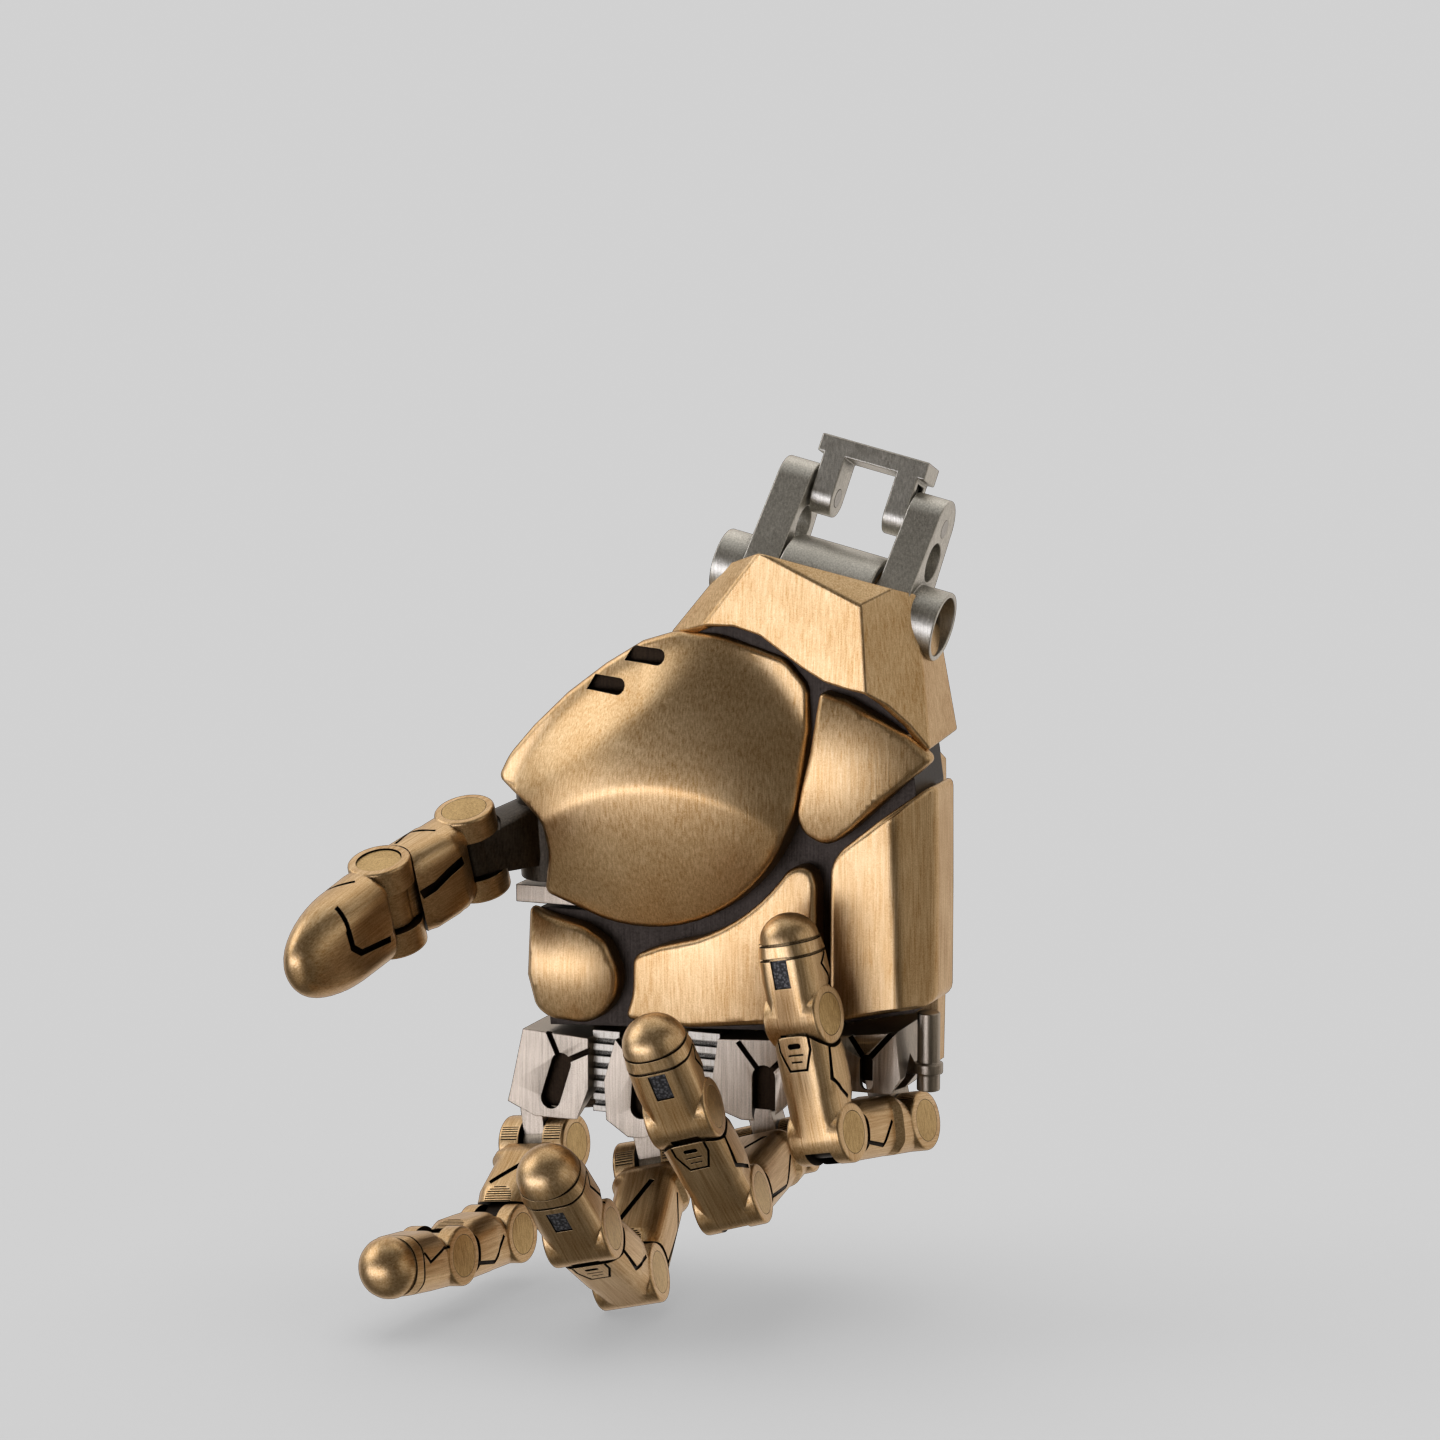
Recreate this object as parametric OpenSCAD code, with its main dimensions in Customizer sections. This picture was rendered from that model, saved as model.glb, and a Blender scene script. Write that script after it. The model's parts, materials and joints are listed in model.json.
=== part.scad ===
// Posable prosthetic hand: right hand, hanging from a wrist yoke, palm to -Y, fingers down.
// The origin is the centre of the wrist tube. +Z runs up the palm towards the wrist and
// +X runs towards the little finger. Millimetres.

/* [Wrist] */
// Tilt of the wrist tube, down towards the little finger side
wrist_cant = 13; // [10:1:15]
// How far the yoke leans back from the palm
yoke_lean = 22; // [16:1:28]
// Outer radius of the wrist tube
tube_r = 7; // [6.8:0.1:7.2]
// Bore radius of the wrist tube
bore_r = 6; // [5.6:0.1:6.2]
// Length of the wrist tube
tube_len = 48; // [46:1:50]
// Height of the link pins above the wrist tube
link_pin_h = 19; // [18.5:0.5:20]
// How far the link leans back from the yoke
link_lean = -4; // [-8:1:8]

/* [Fingers] */
// Width of the index, middle, ring and little finger
finger_w = [12.6, 13, 13, 12]; // [11.5:0.1:13.5]
// Depth of a finger from palm side to back
finger_d = 12; // [11.6:0.1:12.4]
// Proximal phalanx lengths, hinge to hinge
proximal_len = [27, 35, 35, 27]; // [26:0.5:37]
// Middle phalanx lengths, hinge to hinge
middle_len = [23.5, 26, 25.5, 24]; // [22:0.5:27]
// Distal phalanx lengths, hinge to the centre of the tip
distal_len = [17.5, 18, 16, 15]; // [14:0.5:19]

/* [Thumb] */
// Width of the thumb along its hinge pins
thumb_w = 19; // [18:0.5:20]
// Depth of the thumb
thumb_d = 12.4; // [12:0.1:13]
// Proximal phalanx of the thumb, hinge to hinge
thumb_proximal_len = 24; // [23:0.5:26]
// Distal phalanx of the thumb, hinge to the centre of the tip
thumb_distal_len = 24; // [22:0.5:26]

/* [Rest pose] */
// Bend of the knuckle joints, index to little
knuckle_bend = [60, 65, 88, 98]; // [55:1:98]
// Bend of the middle joints, index to little
middle_bend = [33, 60, 59, 80]; // [30:1:82]
// Bend of the end joints, index to little
end_bend = [4, 18, 13, 2]; // [0:1:20]

/* [Hidden] */
brass = "#b08d57";
silver = "#c4beb4";
blackened = "#38322d";
bronze = "#8c6a3c";

fit = 0.05;            // radial running clearance
press = 0.01;          // radial press interference
gap = 0.4;             // space between moving flanks
pin_r = 1.5;           // finger and thumb pins
head_r = 4.2;          // flat heads of the finger pins, flush with the ears
thumb_head_r = 4.6;
head_t = 1;            // thickness of a pin's heads
chamfer = 2.4;         // long edges of a phalanx
tongue_w = 5;          // hinge tongue between two ears
knuckle_w = 15.6;      // width over the ears at the knuckles
cap_wall = 1;          // wall behind a tongue, on the back of the finger

// Hinge centres of the knuckles, index to little
KNUCKLES = [[-63.5, 0, -119], [-38, 0, -121.5], [-12, 0, -115.5], [13.5, 0, -107.5]];
// Turn of each finger about Z, then about Y
YAW = [-6, 6, 6, -8];
SPLAY = [-8, -13, -16, -12];

thumb_root = [-61, -2, -51];
thumb_root_tilt = 8;
thumb_barrel_r = 6.4;
thumb_knuckle = [-73, -14, -54.5];
thumb_turn = [16, 70, 82];
thumb_bend = 10;
thumb_tongue_w = 8;

// Points on an arc in the plane of an outline
function arc(c, r, a0, a1, n = 8) =
    [for (i = [0:n]) let (a = a0 + (a1 - a0) * i / n) c + r * [cos(a), sin(a)]];

// Outlines of the palm plates, seen from the palm side as [x, z]
THENAR = concat([[-69, -40], [-63.5, -43.5], [-56, -48], [-56, -54], [-58.5, -63]],
    arc([-37, -33], 35.5, -104, -10, 10),
    [[-1, -26], [-1.5, -16], [-6, -12], [-20.5, -7.8], [-30, -7.7], [-37, -10], [-61, -28.7]]);
ULNAR_UPPER = [[1.7, -17.5], [7.5, -19], [24, -28.5], [24.5, -32], [19, -36], [4, -48.5],
    [-1.2, -46.5], [-2.5, -43], [0.8, -29]];
ULNAR_LOWER = [[4.8, -51.6], [7.4, -48.8], [14.8, -42.7], [24, -36], [24, -80.8],
    [10.6, -83.2], [4.8, -84.2]];
CENTER = concat([[-37.8, -74.3], [-31.6, -71.8]], arc([-37, -33], 38.5, -70, -32, 5),
    [[-0.2, -53], [2.8, -56], [2.8, -84.8], [-25.4, -87.8], [-40, -87.6], [-38, -82]]);
INDEX_MOUND = concat([[-61.5, -66], [-49.3, -69.2], [-44.3, -72.3]],
    arc([-51.5, -79.6], 10, 15, -90, 5), [[-57, -89], [-60.5, -87]]);
FRAME = [[-27, -10], [-23.4, -5], [18.2, -14.2], [20, -30], [21, -37], [21, -82], [-6, -88],
    [-58, -91], [-60, -66.5], [-44, -66.5], [-44, -35.5], [-60, -35.5], [-42, -17]];
BRACKET = [[-66, -66], [-44.2, -66], [-44.2, -36], [-66, -36], [-66, -39.6], [-47.5, -39.6],
    [-47.5, -62.4], [-66, -62.4]];
DORSAL_UPPER = [[-44, -27], [-20, -18], [10, -24], [20, -34], [20.5, -58], [-52, -58], [-52, -40]];
DORSAL_LOWER = [[-55, -60.5], [20.5, -60.5], [20, -96], [-4, -104], [-56, -106]];

// An outline in X and Z made solid from y0 to y1
module slab(outline, y0, y1)
    translate([0, y1, 0]) rotate([90, 0, 0]) linear_extrude(height = y1 - y0) polygon(outline);
// A cylinder along X
module xrod(r, x0, x1, fn = 64)
    translate([x0, 0, 0]) rotate([0, 90, 0]) cylinder(r = r, h = x1 - x0, $fn = fn);

// ---- wrist ----
module on_wrist() rotate([0, wrist_cant, 0]) children();
module on_yoke() on_wrist() rotate([-yoke_lean, 0, 0]) children();
module on_link() on_yoke() translate([0, 0, link_pin_h]) rotate([-link_lean, 0, 0]) children();
arm_in = 10.6;         // inner faces of the yoke's arms
arm_out = 17.6;
arm_foot_r = 8.2;      // round foot of an arm on the tube
arm_top_r = 5.8;
loop_r = 4;            // opening through an arm
loop_h = 11.8;
link_pin_r = 1.8;
link_w = 20.4;         // over the link's legs
leg_w = 4.6;
link_h = 11.5;         // link pins to the top of the crossbar
barrel_r = 10;
bush_r = 8;            // outer radius of the bushes

module arm_side() translate([arm_in, 0, 0]) rotate([90, 0, 90])
    linear_extrude(height = arm_out - arm_in) difference() {
        union() {
            circle(r = arm_foot_r, $fn = 64);
            polygon([[-arm_foot_r, 0], [arm_foot_r, 0], [arm_top_r, link_pin_h], [-arm_top_r, link_pin_h]]);
            translate([0, link_pin_h]) circle(r = arm_top_r, $fn = 64);
        }
        translate([0, loop_h]) circle(r = loop_r, $fn = 48);
    }
module wrist_yoke() color(silver) on_yoke() difference() {
    union() {
        xrod(tube_r, -tube_len / 2, tube_len / 2);
        arm_side();
        mirror([1, 0, 0]) arm_side();
    }
    xrod(bore_r, -tube_len, tube_len);
    translate([0, 0, link_pin_h]) xrod(link_pin_r - press, -tube_len, tube_len);
}
module link_pins() color(silver) on_yoke() translate([0, 0, link_pin_h]) {
    xrod(link_pin_r, link_w / 2 - leg_w, arm_out);
    xrod(link_pin_r, -arm_out, -link_w / 2 + leg_w);
}
module wrist_link() color(silver) on_link() difference() {
    union() {
        for (s = [-1, 1]) {
            x0 = s > 0 ? link_w / 2 - leg_w : -link_w / 2;
            xrod(4, x0, x0 + leg_w);
            translate([x0, -4, 0]) cube([leg_w, 8, link_h]);
        }
        translate([-link_w / 2 - 1.4, -4, link_h - 3.6]) cube([link_w + 2.8, 8, 3.6]);
    }
    xrod(link_pin_r + fit, -link_w, link_w);
    for (s = [-1, 1]) translate([s * link_w / 2, 0, 5.3]) cube([2.4, 4.6, 3.4], center = true);
}
module wrist_barrel() color(silver) on_wrist() difference() {
    union() {
        xrod(barrel_r, -9.8, 9.8, 96);
        translate([-9.8, -6, -19]) cube([19.6, 13, 16]);
    }
    xrod(bush_r - press, -20, 20);
}
module wrist_bushes() color(bronze) on_wrist() for (x = [-9.8, 2.8]) difference() {
    xrod(bush_r, x, x + 7);
    xrod(tube_r + fit, x - 1, x + 8);
}

// ---- palm ----
module palm_frame() color(blackened) difference() {
    slab(FRAME, -9, 8);
    on_wrist() translate([-10, -6.2, -19.2]) cube([20, 13.4, 30]);
    on_wrist() xrod(barrel_r + 0.4, -10.4, 10.4);
    on_wrist() xrod(arm_foot_r + 0.7, -40, 40);
    for (p = SCREWS) translate([p[0], 3, p[1]]) rotate([-90, 0, 0])
        cylinder(r = screw_r - press, h = 9, $fn = 32);
}
SCREWS = [[-40, -30], [12, -32], [-38, -64], [14, -64], [-50, -84], [12, -76]];
screw_r = 1.2;
screw_head_r = 2.1;
CUFF_TOP = [[-19.6, -9, 7], [-10.5, -14, 10], [18.5, -10, 4], [20.5, 2, 2], [-20, 2, 7], [-14, 9, 4],
    [14, 9, 0]];
CUFF_RING = [[-30, -10, -8], [-10, -17.5, -7], [12.5, -18, -17], [25, -8, -28], [24, 8, -28],
    [12, 12.5, -20], [-24, 12.5, -14], [-32, 4, -10]];
module point_hull(points, s, lift = 0)
    hull() for (p = points) translate([p[0] * s, p[1] * s, p[2] + lift]) cube(0.02, center = true);
module wrist_cuff() color(brass) difference() {
    point_hull(concat(CUFF_TOP, CUFF_RING), 1);
    point_hull(concat(CUFF_TOP, CUFF_RING), 0.86, 0.4);
    // open top and back, where the yoke's arms swing
    on_wrist() translate([-18.6, -9.5, 0]) cube([37.2, 40, 30]);
    on_wrist() translate([-18.6, 3, -9]) cube([37.2, 40, 30]);
    on_wrist() xrod(arm_foot_r + 0.6, -18.6, 18.6);
    on_wrist() xrod(tube_r + 0.6, -60, 60);
    slab(FRAME, -9.1, 8.1);
    slab([for (p = THENAR) p + [0, 0.8]], -40, 0);
    slab([for (p = ULNAR_UPPER) p + [0, 1]], -40, 0);
    slab([for (p = DORSAL_UPPER) p + [0, 1]], 0, 40);
    on_wrist() translate([-10.6, -10.6, -20]) cube([21.2, 22, 40]);
}
// A domed plate: its outline cut from a spherical shell
module domed(outline, c, r, t, fn = 96) intersection() {
    slab(outline, -40, -9);
    translate(c) difference() {
        sphere(r = r, $fn = fn);
        sphere(r = r - t, $fn = fn);
    }
}
module thenar_plate() color(brass) difference() {
    union() {
        domed(THENAR, [-36, 24, -38], 46, 3.2);
        intersection() {
            slab([for (p = THENAR) [-36, -38] + 0.9 * (p - [-36, -38])], -19, -9);
            translate([-36, 24, -38]) sphere(r = 44, $fn = 96);
        }
    }
    for (p = [[-35.5, -13], [-43.5, -19]])
        translate([p[0], -12, p[1]]) rotate([0, 12, 0]) cube([8, 30, 2.6], center = true);
    at_thumb_root() cylinder(r = thumb_barrel_r + 0.8, h = 60, center = true, $fn = 64);
    slab(BRACKET, -10, 0);
}
module ulnar_upper_plate() color(brass) domed(ULNAR_UPPER, [4, 22, -40], 37, 6);
module ulnar_lower_plate() color(brass) difference() {
    union() { slab(ULNAR_LOWER, -14.5, -9); translate([21.2, -12, -80.8]) cube([2.8, 16, 44.6]); }
    translate([23, -15, -60]) rotate([0, 0, 40]) cube([12, 5, 60], center = true);
}
module palm_center_plate() color(brass) domed(CENTER, [-18, 105, -70], 120, 6, 240);
module index_mound_plate() color(brass) domed(INDEX_MOUND, [-52, 12, -78], 27, 6);
module dorsal_upper_plate() color(brass) difference() {
    slab(DORSAL_UPPER, 8, 12.6);
    screw_holes();
}
module dorsal_lower_plate() color(brass) difference() {
    slab(DORSAL_LOWER, 8, 12.6);
    screw_holes();
    for (i = [0:3]) at_knuckle(i) xrod(finger_d / 2 + 1.5, -10, 10);
}
module screw_holes() for (p = SCREWS) translate([p[0], 7, p[1]]) rotate([-90, 0, 0]) {
    cylinder(r = screw_r + 0.1, h = 10, $fn = 32);
    translate([0, 0, 4]) cylinder(r = screw_head_r + 0.1, h = 10, $fn = 32);
}
module plate_screws() color(silver) for (p = SCREWS) translate([p[0], 3.2, p[1]])
    rotate([-90, 0, 0]) {
        cylinder(r = screw_r, h = 8.2, $fn = 32);
        difference() {
            translate([0, 0, 7.8]) cylinder(r = screw_head_r, h = 1.4, $fn = 32);
            translate([0, 0, 9]) cylinder(r = 0.9, h = 2, center = true, $fn = 6);
        }
    }
module ulnar_post() color(silver) translate([22.7, -5, -98.5]) {
    cylinder(r = 2.3, h = 16, $fn = 48);
    translate([0, 0, 3.5]) cylinder(r = 2.9, h = 2.2, $fn = 48);
}

// ---- fingers ----
module at_knuckle(i) translate(KNUCKLES[i]) rotate([0, 0, YAW[i]]) rotate([0, SPLAY[i], 0]) children();
module at_proximal(i) at_knuckle(i) rotate([-knuckle_bend[i], 0, 0]) children();
module at_middle(i) at_proximal(i) translate([0, 0, -proximal_len[i]])
    rotate([-middle_bend[i], 0, 0]) children();
module at_distal(i) at_middle(i) translate([0, 0, -middle_len[i]])
    rotate([-end_bend[i], 0, 0]) children();

// Ends of the rod groove of each block as [x, z], and its radius
STEMS = [[[-54, -98], [-56.4, -105.6]], [[-36, -98.5], [-36.5, -106]], [[-9.6, -97], [-9.6, -104.6]],
    [[12.3, -91.8], [12.3, -96.2]]];
stem_r = [2, 2, 2.3, 1.2];
// A silver knuckle block: a pointed shield above, a hinge tongue below
BLOCKS = [
    [[-62.5, -91.5], [-48, -92.3], [-48, -103], [-50.5, -109.5], [-58, -110.5], [-66, -107], [-65, -103]],
    [[-42, -92], [-27.5, -91], [-27, -102], [-31, -110], [-38, -113], [-44, -109], [-44.5, -101]],
    [[-19.5, -90], [-4, -89], [-3.5, -101], [-7, -104.5], [-12, -107], [-18, -105], [-21, -100]],
    [[3.5, -87.5], [18.5, -85.5], [19.5, -95], [17, -99], [13.5, -100.3], [8, -99], [3.8, -96]]];
module knuckle_block(i) color(silver) difference() {
    union() {
        difference() {
            slab(BLOCKS[i], -13, 8);
            slab(FRAME, -10, 9);
            // lower bevel that lets the finger fold
            translate([0, -13, KNUCKLES[i][2] + 6.5]) rotate([45, 0, 0])
                translate([-100, -12, -6]) cube([200, 24, 8]);
            at_knuckle(i) xrod(finger_d / 2 + 0.9, -11, 11);
        }
        at_knuckle(i) {
            xrod(finger_d / 2 - cap_wall - gap, -tongue_w / 2, tongue_w / 2);
            translate([-tongue_w / 2, -3.6, 0]) cube([tongue_w, 8, 13]);
        }
    }
    at_knuckle(i) xrod(pin_r - press, -30, 30);
    // rod groove on the palm face
    hull() for (p = STEMS[i]) translate([p[0], -13, p[1]])
        rotate([90, 0, 0]) cylinder(r = stem_r[i], h = 3, center = true, $fn = 24);
}
module knuckle_spacers() color(blackened) for (s = [[-48, -42, -91, -108], [-27, -20, -89.5, -104],
        [-3.8, 3.6, -88, -100]])
    difference() {
        translate([s[0] + 0.05, -10.5, s[3]]) cube([s[1] - s[0] - 0.1, 18, s[2] - s[3]]);
        for (z = [s[3] + 1.2:2.6:s[2] - 1]) translate([s[0] - 1, -11, z]) cube([20, 1.6, 1.2]);
        for (outline = BLOCKS) slab(outline, -20, 20);
        slab(FRAME, -12, 9);
        for (i = [0:3]) at_knuckle(i) xrod(finger_d / 2 + 0.9, -11, 11);
    }
// Holds the thumb's root pin between two lugs
module thumb_bracket() color(silver) difference() {
    slab(BRACKET, -8, 6);
    at_thumb_root() cylinder(r = pin_r - press, h = 60, center = true, $fn = 48);
}
module knuckle_pins() color(brass) for (i = [0:3]) at_knuckle(i) headed_pin(knuckle_w, head_r);

// Side outline of a phalanx as [y, z]: ears round the upper hinge, a notch on the palm side
module side_body(w, d, len) translate([-w / 2, 0, 0]) rotate([90, 0, 90]) linear_extrude(height = w)
    polygon([[d / 2, 0], [d / 2, -len + 2.5], [-d / 2 + 1.4, -len + 4.6], [-d / 2, -len + 8],
        [-d / 2, -8], [-d * 0.3535, -d * 0.3535], [0, 0]]);
module eight_side(w, d, z0, z1) translate([0, 0, z1]) linear_extrude(height = z0 - z1)
    polygon([[-w / 2 + chamfer, -d / 2], [w / 2 - chamfer, -d / 2], [w / 2, -d / 2 + chamfer],
        [w / 2, d / 2 - chamfer], [w / 2 - chamfer, d / 2], [-w / 2 + chamfer, d / 2],
        [-w / 2, d / 2 - chamfer], [-w / 2, -d / 2 + chamfer]]);
// Slot that the tongue above turns in, the running bores and the seats of the pin's heads
module ear_slot(w, d, tw, hr) {
    xrod(d / 2 - cap_wall, -tw / 2 - gap, tw / 2 + gap);
    translate([-tw / 2 - gap, 0, 0]) rotate([90, 0, 90]) linear_extrude(height = tw + 2 * gap)
        polygon([[0, 0], [9, 4.3], [9, 12], [-12, 12], [-12, -5.2], [0, -4.7]]);
    xrod(pin_r + fit, -w, w, 48);
    for (s = [-1, 1]) translate([s * (w - head_t - fit), 0, 0]) xrod(hr + fit, -w / 2, w / 2);
}
// A pin with a flat head at each end
module headed_pin(w, hr) {
    xrod(pin_r, -w / 2 + head_t, w / 2 - head_t, 48);
    for (s = [-1, 1]) translate([s * (w - head_t) / 2, 0, 0]) xrod(hr, -head_t / 2, head_t / 2);
}
module link_bone(w_top, w, d, len, tw, hr) difference() {
    union() {
        difference() {
            union() {
                xrod(d / 2, -w_top / 2, w_top / 2);
                intersection() {
                    side_body(w_top, d, len);
                    union() {
                        eight_side(w_top, d, d, -9);
                        eight_side(w, d, -8, -len);
                    }
                }
            }
            translate([0, 0, -len]) xrod(d / 2 + 0.6, -30, 30);
        }
        translate([0, 0, -len]) {
            xrod(d / 2 - cap_wall - gap, -tw / 2, tw / 2);
            translate([-tw / 2, -d / 2 + 2.6, 0]) cube([tw, d - 4.6, d / 2 + 2]);
        }
    }
    ear_slot(w_top, d, tw, hr);
    translate([0, 0, -len]) xrod(pin_r - press, -30, 30, 48);
}
module tip_bone(w, d, len, r, tw) difference() {
    union() {
        xrod(d / 2, -w / 2, w / 2);
        intersection() {
            side_body(w, d, len + 4);
            eight_side(w, d, d, -len + 3);
        }
        translate([0, 0, -len]) cylinder(r = r, h = len - 7, $fn = 64);
        translate([0, 0, -len]) sphere(r = r, $fn = 64);
    }
    ear_slot(w, d, tw, head_r);
}
window_floor = 1.2;    // depth of the grip's pocket
module window_box(i, clear, y1) translate([-1.8 - clear, finger_d / 2 - window_floor,
    -distal_len[i] * 0.55 - 4 - clear])
    cube([3.6 + 2 * clear, y1 - finger_d / 2 + window_floor, 5.6 + 2 * clear]);
module finger_proximal(i) color(brass) at_proximal(i)
    link_bone(knuckle_w, finger_w[i], finger_d, proximal_len[i], tongue_w, head_r);
module finger_middle(i) color(brass) at_middle(i)
    link_bone(finger_w[i], finger_w[i], finger_d, middle_len[i], tongue_w, head_r);
module finger_distal(i) color(brass) at_distal(i) difference() {
    tip_bone(finger_w[i], finger_d, distal_len[i], finger_w[i] / 2 - 0.1, tongue_w);
    window_box(i, 0.02, finger_d);
}
module finger_window(i) color(blackened) at_distal(i) window_box(i, 0, finger_d / 2 - 0.2);
module middle_pin(i) color(brass) at_middle(i) headed_pin(finger_w[i], head_r);
module end_pin(i) color(brass) at_distal(i) headed_pin(finger_w[i], head_r);

// ---- thumb ----
module at_thumb() translate(thumb_knuckle) rotate(thumb_turn) children();
module at_thumb_end() at_thumb() translate([0, 0, -thumb_proximal_len])
    rotate([-thumb_bend, 0, 0]) children();
module at_thumb_root() translate(thumb_root) rotate([thumb_root_tilt, 0, 0]) children();
module thumb_base() color(blackened) difference() {
    union() {
        at_thumb_root() cylinder(r = thumb_barrel_r, h = 20, center = true, $fn = 64);
        hull() {
            at_thumb_root() cylinder(r = 4.6, h = 13, center = true, $fn = 32);
            at_thumb() xrod(4.6, -4, 4, 32);
        }
        at_thumb() xrod(thumb_d / 2 - cap_wall - gap, -thumb_tongue_w / 2, thumb_tongue_w / 2);
    }
    at_thumb_root() cylinder(r = pin_r + fit, h = 60, center = true, $fn = 48);
    at_thumb() xrod(pin_r - press, -30, 30, 48);
    at_thumb() for (s = [-1, 1]) translate([s * (thumb_tongue_w / 2 + gap / 2 + 10), 0, 0])
        xrod(thumb_d / 2 + 0.6, -10 + 0.2, 10 - 0.2);
}
module thumb_proximal() color(brass) at_thumb()
    link_bone(thumb_w, thumb_w, thumb_d, thumb_proximal_len, thumb_tongue_w, thumb_head_r);
module thumb_distal() color(brass) at_thumb_end() difference() {
    union() {
        xrod(thumb_d / 2, -thumb_w / 2, thumb_w / 2);
        intersection() {
            side_body(thumb_w, thumb_d, thumb_distal_len + 4);
            eight_side(thumb_w, thumb_d, thumb_d, -thumb_distal_len + 8);
        }
        hull() {
            translate([0, 0, -thumb_distal_len + 8]) eight_side(thumb_w, thumb_d, 0, -0.5);
            translate([0, 0, -thumb_distal_len]) sphere(r = 7, $fn = 32);
        }
    }
    ear_slot(thumb_w, thumb_d, thumb_tongue_w, thumb_head_r);
}
module thumb_base_pin() color(silver) at_thumb_root()
    cylinder(r = pin_r, h = 28.5, center = true, $fn = 48);
module thumb_knuckle_pin() color(brass) at_thumb() headed_pin(thumb_w, thumb_head_r);
module thumb_end_pin() color(brass) at_thumb_end() headed_pin(thumb_w, thumb_head_r);

wrist_yoke();
link_pins();
wrist_link();
wrist_barrel();
wrist_bushes();
palm_frame();
wrist_cuff();
thenar_plate();
ulnar_upper_plate();
ulnar_lower_plate();
palm_center_plate();
index_mound_plate();
dorsal_upper_plate();
dorsal_lower_plate();
plate_screws();
thumb_bracket();
knuckle_spacers();
ulnar_post();
knuckle_block(0);  // index_knuckle
knuckle_block(1);  // middle_knuckle
knuckle_block(2);  // ring_knuckle
knuckle_block(3);  // little_knuckle
knuckle_pins();
finger_proximal(0);  // index_proximal
finger_middle(0);  // index_middle
finger_distal(0);  // index_distal
finger_window(0);  // index_window
middle_pin(0);  // index_middle_pin
end_pin(0);  // index_end_pin
finger_proximal(1);  // middle_proximal
finger_middle(1);  // middle_middle
finger_distal(1);  // middle_distal
finger_window(1);  // middle_window
middle_pin(1);  // middle_middle_pin
end_pin(1);  // middle_end_pin
finger_proximal(2);  // ring_proximal
finger_middle(2);  // ring_middle
finger_distal(2);  // ring_distal
finger_window(2);  // ring_window
middle_pin(2);  // ring_middle_pin
end_pin(2);  // ring_end_pin
finger_proximal(3);  // little_proximal
finger_middle(3);  // little_middle
finger_distal(3);  // little_distal
finger_window(3);  // little_window
middle_pin(3);  // little_middle_pin
end_pin(3);  // little_end_pin
thumb_base();
thumb_proximal();
thumb_distal();
thumb_base_pin();
thumb_knuckle_pin();
thumb_end_pin();
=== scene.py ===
"""Posable prosthetic hand: the looks of its pieces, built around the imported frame."""
import json
import math

import bmesh
import bpy
from mathutils import Matrix, Vector


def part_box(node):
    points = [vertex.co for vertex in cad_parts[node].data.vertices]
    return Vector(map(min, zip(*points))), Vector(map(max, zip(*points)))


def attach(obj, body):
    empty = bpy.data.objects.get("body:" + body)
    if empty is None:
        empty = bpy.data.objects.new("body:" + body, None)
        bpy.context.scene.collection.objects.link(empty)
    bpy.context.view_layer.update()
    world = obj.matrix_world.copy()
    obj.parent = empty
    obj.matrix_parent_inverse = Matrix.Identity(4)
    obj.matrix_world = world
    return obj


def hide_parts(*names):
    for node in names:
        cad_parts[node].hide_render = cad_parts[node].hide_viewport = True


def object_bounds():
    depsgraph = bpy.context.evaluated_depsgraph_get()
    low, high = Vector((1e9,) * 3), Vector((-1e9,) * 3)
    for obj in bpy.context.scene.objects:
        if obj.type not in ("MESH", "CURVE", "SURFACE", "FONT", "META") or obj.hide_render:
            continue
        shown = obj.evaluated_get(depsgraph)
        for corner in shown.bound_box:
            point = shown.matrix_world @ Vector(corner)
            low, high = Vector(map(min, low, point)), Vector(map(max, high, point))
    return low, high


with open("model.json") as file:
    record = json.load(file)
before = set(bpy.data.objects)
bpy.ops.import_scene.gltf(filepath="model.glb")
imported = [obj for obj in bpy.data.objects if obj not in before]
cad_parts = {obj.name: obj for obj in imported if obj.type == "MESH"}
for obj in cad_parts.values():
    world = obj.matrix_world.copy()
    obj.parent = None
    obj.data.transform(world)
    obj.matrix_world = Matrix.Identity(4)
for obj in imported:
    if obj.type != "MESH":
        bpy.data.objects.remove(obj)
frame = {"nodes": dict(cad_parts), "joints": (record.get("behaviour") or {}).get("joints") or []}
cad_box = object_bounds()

# ---- Wrist yoke: a cross tube with two looped arms -------------------------------------------
# A sand-cast nickel-silver fork. Its arms rise from a bored tube and carry the link's pins.
# The casting is tumbled, blackened, and rubbed bright where hands touch it.

MM = 0.001
WHOLE = Matrix.Identity(4)


def linear(code):
    """An sRGB colour such as "#c8a062" as the linear values a shader takes."""
    parts = [int(code[i:i + 2], 16) / 255 for i in (1, 3, 5)]
    return [p / 12.92 if p <= 0.04045 else ((p + 0.055) / 1.055) ** 2.4 for p in parts] + [1]


def add(tree, kind, inputs=None, **settings):
    """Adds one node with its settings, and sets or links its inputs."""
    node = tree.nodes.new("ShaderNode" + kind)
    for key, value in settings.items():
        setattr(node, key, value)
    for key, value in (inputs or {}).items():
        if isinstance(value, bpy.types.NodeSocket):
            tree.links.new(value, node.inputs[key])
        else:
            node.inputs[key].default_value = value
    return node


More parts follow.
